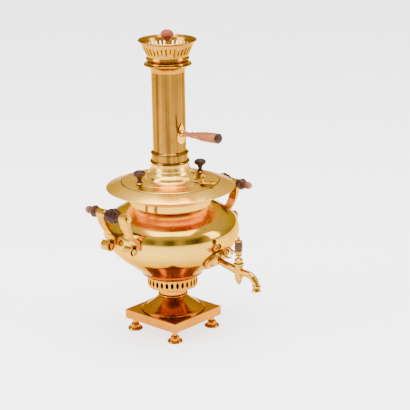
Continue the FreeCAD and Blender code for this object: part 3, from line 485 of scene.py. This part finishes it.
pale_wood = wood("pale_wood", dark=(0.17, 0.045, 0.012), light=(0.44, 0.15, 0.045),
                 wear=(0.27, 0.085, 0.024), stretch=(1, 0.14, 1), gloss=0.38)
drum_wood = wood("drum_wood", dark=(0.020, 0.007, 0.003), light=(0.095, 0.036, 0.012),
                 wear=(0.17, 0.066, 0.022), stretch=(1, 1, 0.2))
red_wood = wood("red_wood", dark=(0.16, 0.022, 0.010), light=(0.40, 0.080, 0.035),
                wear=(0.26, 0.045, 0.02), stretch=(1, 1, 0.3), gloss=0.28)
raw_iron = iron("raw_iron")

# Finishes of the solids: by slot, and by node where a piece differs from its slot
SLOT_FINISH = {
    "brass": body_brass, "cast_brass": cast_brass, "dark_brass": dark_brass,
    "tinned_brass": tinned_brass, "iron": raw_iron, "dark_wood": knob_wood,
    "light_wood": pale_wood, "red_wood": red_wood}
NODE_FINISH = {
    "chimney_tube": column_painted_shade_brass, "crown": crown_brass, "plinth": foot_brass,
    "air_gallery": foot_brass}
for part in frame["record"]["subparts"]:
    finish = NODE_FINISH.get(part["node"], SLOT_FINISH[part["material_slot"]])
    for place in frame["nodes"][part["node"]].material_slots:
        place.material = finish

# Feet, pedestal and bowl
CORNERS = {"front_left": (-1, -1), "front_right": (1, -1), "rear_left": (-1, 1), "rear_right": (1, 1)}
for name, (sx, sy) in CORNERS.items():
    turned("smooth_foot_" + name, FOOT, "root", foot_brass, "foot_" + name,
           place=Vector((sx * FOOT_PLACE, sy * FOOT_PLACE, 0)))
turned("smooth_pedestal", PEDESTAL, "root", foot_brass, "pedestal", closed=True)
turned("smooth_bowl", BOWL, "root", body_brass, "base_bowl", closed=True)

# Vessel and brim
turned("smooth_vessel", VESSEL, "root", body_brass, "body_shell", closed=True)
turned("smooth_brim", BRIM, "root", satin_brass, "top_brim", closed=True)

# Lid, cut through for the steam hole
lid_piece = turned("smooth_lid", LID, "lid", satin_brass, "lid", closed=True)
punch_mesh = turned_mesh("punch", STEAM_HOLE, place=polar(STEAM_R, VENT_AZIMUTH, 0))
punch = bpy.data.objects.new("punch", punch_mesh)
bpy.context.scene.collection.objects.link(punch)
punched = lid_piece.modifiers.new("steam_hole", "BOOLEAN")
punched.object = punch
punched.solver = "EXACT"
bpy.context.view_layer.update()
seen_lid = lid_piece.evaluated_get(bpy.context.evaluated_depsgraph_get())
cut_mesh = bpy.data.meshes.new_from_object(seen_lid)
lid_piece.modifiers.clear()
lid_piece.data = cut_mesh
bpy.data.objects.remove(punch)

# Knobs of the lid and the vent
turned("smooth_lid_knob_left", LID_KNOB, "lid", knob_wood, "lid_knob_left",
       place=polar(LID_KNOB_R, 180 - LID_KNOB_TURN, LID_KNOB_Z))
turned("smooth_lid_knob_right", LID_KNOB, "lid", knob_wood, "lid_knob_right",
       place=polar(LID_KNOB_R, -LID_KNOB_TURN, LID_KNOB_Z))
turned("smooth_vent_knob", VENT_KNOB, "vent", cast_brass, "vent_knob",
       place=polar(VENT_R, VENT_AZIMUTH, VENT_Z))

# Chimney, crown and cap
turned("smooth_collar", COLLAR, "chimney", column_painted_shade_brass, "chimney_collar", closed=True)
turned("smooth_drip_ring", DRIP_RING, "crown", crown_brass, "drip_ring", closed=True)
turned("smooth_cap", CAP, "damper", crown_brass, "damper_cap")
turned("smooth_cap_knob", CAP_KNOB, "damper", red_wood, "damper_knob")

# Chimney grip
tilt = math.radians(GRIP_TILT)
bearing = math.radians(GRIP_AZIMUTH)
grip_axis = Vector((math.cos(bearing) * math.cos(tilt), math.sin(bearing) * math.cos(tilt), math.sin(tilt)))
grip_root = polar(COLUMN_R, GRIP_AZIMUTH, GRIP_Z)
turned("smooth_chimney_grip", CHIMNEY_GRIP, "chimney", pale_wood, "chimney_grip",
       axis=grip_axis, place=grip_root)
turned("smooth_grip_cap", GRIP_CAP, "chimney", knob_wood, "grip_cap",
       axis=grip_axis, place=grip_root)

# Handle grips and wooden ends
for name, side in (("left", -1), ("right", 1)):
    handle_place = Vector((side * HANDLE_X, 0, HANDLE_Z))
    turned("smooth_grip_" + name, HANDLE_GRIP, "root", grip_wood, "handle_grip_" + name,
           closed=True, axis=ALONG, place=handle_place)
    turned("smooth_end_" + name + "_rear", HANDLE_END, "root", end_wood,
           "handle_end_knob_" + name + "_rear", axis=ALONG, place=handle_place)
turned("smooth_end_right_front", HANDLE_END, "root", end_wood, "handle_end_knob_right_front",
       axis=-ALONG, place=Vector((HANDLE_X, 0, HANDLE_Z)))

# Key of the tap
tap_place = Vector((0, BARREL_Y, 0))
turned("smooth_key_drum", KEY_DRUM, "tap_key", drum_wood, "key_drum", closed=True,
       place=tap_place)
turned("smooth_key_spire", KEY_SPIRE, "tap_key", cast_brass, "key_spire", place=tap_place)

# Edge of the tap's plate and the pearls round it
edge_mesh = turned_mesh("plate_edge", PLATE_EDGE, TAP_FACING, TAP_ROOT, True)
new_piece("plate_edge", edge_mesh, "root", cast_brass)
pearl_grid = bmesh.new()
across = Vector((1, 0, 0))
upward = TAP_FACING.cross(across)
for i in range(PEARLS):
    a = 2 * math.pi * i / PEARLS
    spot = TAP_ROOT + TAP_FACING * PEARL_RISE + (across * math.cos(a) + upward * math.sin(a)) * PEARL_RING
    bmesh.ops.create_uvsphere(pearl_grid, u_segments=PEARL_SEGMENTS, v_segments=PEARL_RINGS,
                              radius=PEARL_R * MM, matrix=Matrix.Translation(spot * MM))
pearl_mesh = bpy.data.meshes.new("plate_pearls")
pearl_grid.to_mesh(pearl_mesh)
pearl_grid.free()
pearl_mesh.shade_smooth()
new_piece("plate_pearls", pearl_mesh, "root", cast_brass)

# Floor
floor_mesh = bpy.data.meshes.new("floor")
floor_corners = [(-FLOOR_HALF, -FLOOR_HALF, 0), (FLOOR_HALF, -FLOOR_HALF, 0),
                 (FLOOR_HALF, FLOOR_HALF, 0), (-FLOOR_HALF, FLOOR_HALF, 0)]
floor_mesh.from_pydata(floor_corners, [], [(0, 1, 2, 3)])
floor = bpy.data.objects.new("floor", floor_mesh)
bpy.context.scene.collection.objects.link(floor)
floor_paint, floor_tree, floor_shader, floor_place = new_material("floor_paint")
floor_patch = noise(floor_tree, floor_place, FLOOR_PATCH_SCALE)
floor_tone = ramp(floor_tree, floor_patch, [(0.3, FLOOR_LOW), (0.7, FLOOR_HIGH)])
floor_tree.links.new(floor_tone, floor_shader.inputs["Base Color"])
floor_shader.inputs["Roughness"].default_value = FLOOR_ROUGHNESS
floor_shader.inputs["Emission Color"].default_value = FLOOR_GLOW_TINT
floor_shader.inputs["Emission Strength"].default_value = FLOOR_GLOW
floor_mesh.materials.append(floor_paint)

# Room: pale, with bright and dark panels on the side that the photograph was taken from
right = Vector((math.cos(VIEW_BEARING), math.sin(VIEW_BEARING), 0))
toward = Vector((math.sin(VIEW_BEARING), -math.cos(VIEW_BEARING), 0))
world = bpy.data.worlds.new("studio")
bpy.context.scene.world = world
world.use_nodes = True
sky = world.node_tree
direction = sky.nodes.new("ShaderNodeTexCoord").outputs["Generated"]


def share_towards(way):
    """How far a direction of the room points along a way, from 0 for against it to 1."""
    along = node(sky, "VectorMath", operation="DOT_PRODUCT")
    along.inputs[1].default_value = way
    sky.links.new(direction, along.inputs[0])
    share = node(sky, "MapRange", From_Min=-1.0)
    sky.links.new(along.outputs["Value"], share.inputs["Value"])
    return share.outputs["Result"]


def grey(level):
    """A warm grey."""
    return (level, level * 0.985, level * 0.96)


room = ramp(sky, share_towards(UP), [(0.45, grey(0.55)), (0.60, grey(0.80)), (0.85, grey(1.15))])
panels = ramp(sky, share_towards(right), [
    (0.10, grey(0.9)), (0.24, grey(0.16)), (0.34, grey(0.95)), (0.42, grey(0.22)), (0.52, grey(0.14)),
    (0.62, grey(1.0)), (0.72, grey(0.30)), (0.86, grey(0.12)), (0.94, grey(0.9))])
front = ramp(sky, share_towards(toward), [(0.52, BLACK), (0.66, WHITE)])
level = ramp(sky, share_towards(UP), [(0.40, WHITE), (0.66, WHITE), (0.80, BLACK)])
facing = mix(sky, 1.0, front, level, "MULTIPLY")
sky.links.new(mix(sky, facing, room, panels), sky.nodes["Background"].inputs["Color"])
sky.nodes["Background"].inputs["Strength"].default_value = ROOM_STRENGTH


def soft_box(name, place, size, power):
    """A soft box that points at the middle of the object."""
    light = bpy.data.lights.new(name, "AREA")
    light.shape = "RECTANGLE"
    light.size, light.size_y = size
    light.energy = power
    lamp = bpy.data.objects.new(name, light)
    lamp.location = place
    lamp.rotation_euler = (LIGHT_AIM - place).to_track_quat("-Z", "Y").to_euler()
    bpy.context.scene.collection.objects.link(lamp)


soft_box("box_left", right * -2.2 + toward * 0.9 + UP * 1.5, (1.3, 2.0), LEFT_POWER)
soft_box("box_right", right * 2.4 + toward * 0.5 + UP * 1.3, (0.9, 1.8), RIGHT_POWER)
soft_box("box_top", UP * 2.8 + toward * 0.2, (2.4, 2.4), TOP_POWER)

# Camera
camera_data = bpy.data.cameras.new("camera")
camera_data.sensor_width = SENSOR
camera_data.lens = SENSOR * FOCAL_PIXELS / PICTURE_PIXELS
camera = bpy.data.objects.new("camera", camera_data)
target = right * VIEW_SIDE + UP * VIEW_TARGET_Z
camera.location = target + VIEW_DISTANCE * (toward * math.cos(VIEW_HEIGHT) + UP * math.sin(VIEW_HEIGHT))
look = (target - camera.location).to_track_quat("-Z", "Y")
camera.rotation_euler = (look.to_matrix() @ Matrix.Rotation(VIEW_ROLL, 3, "Z")).to_euler()
bpy.context.scene.collection.objects.link(camera)
bpy.context.scene.camera = camera
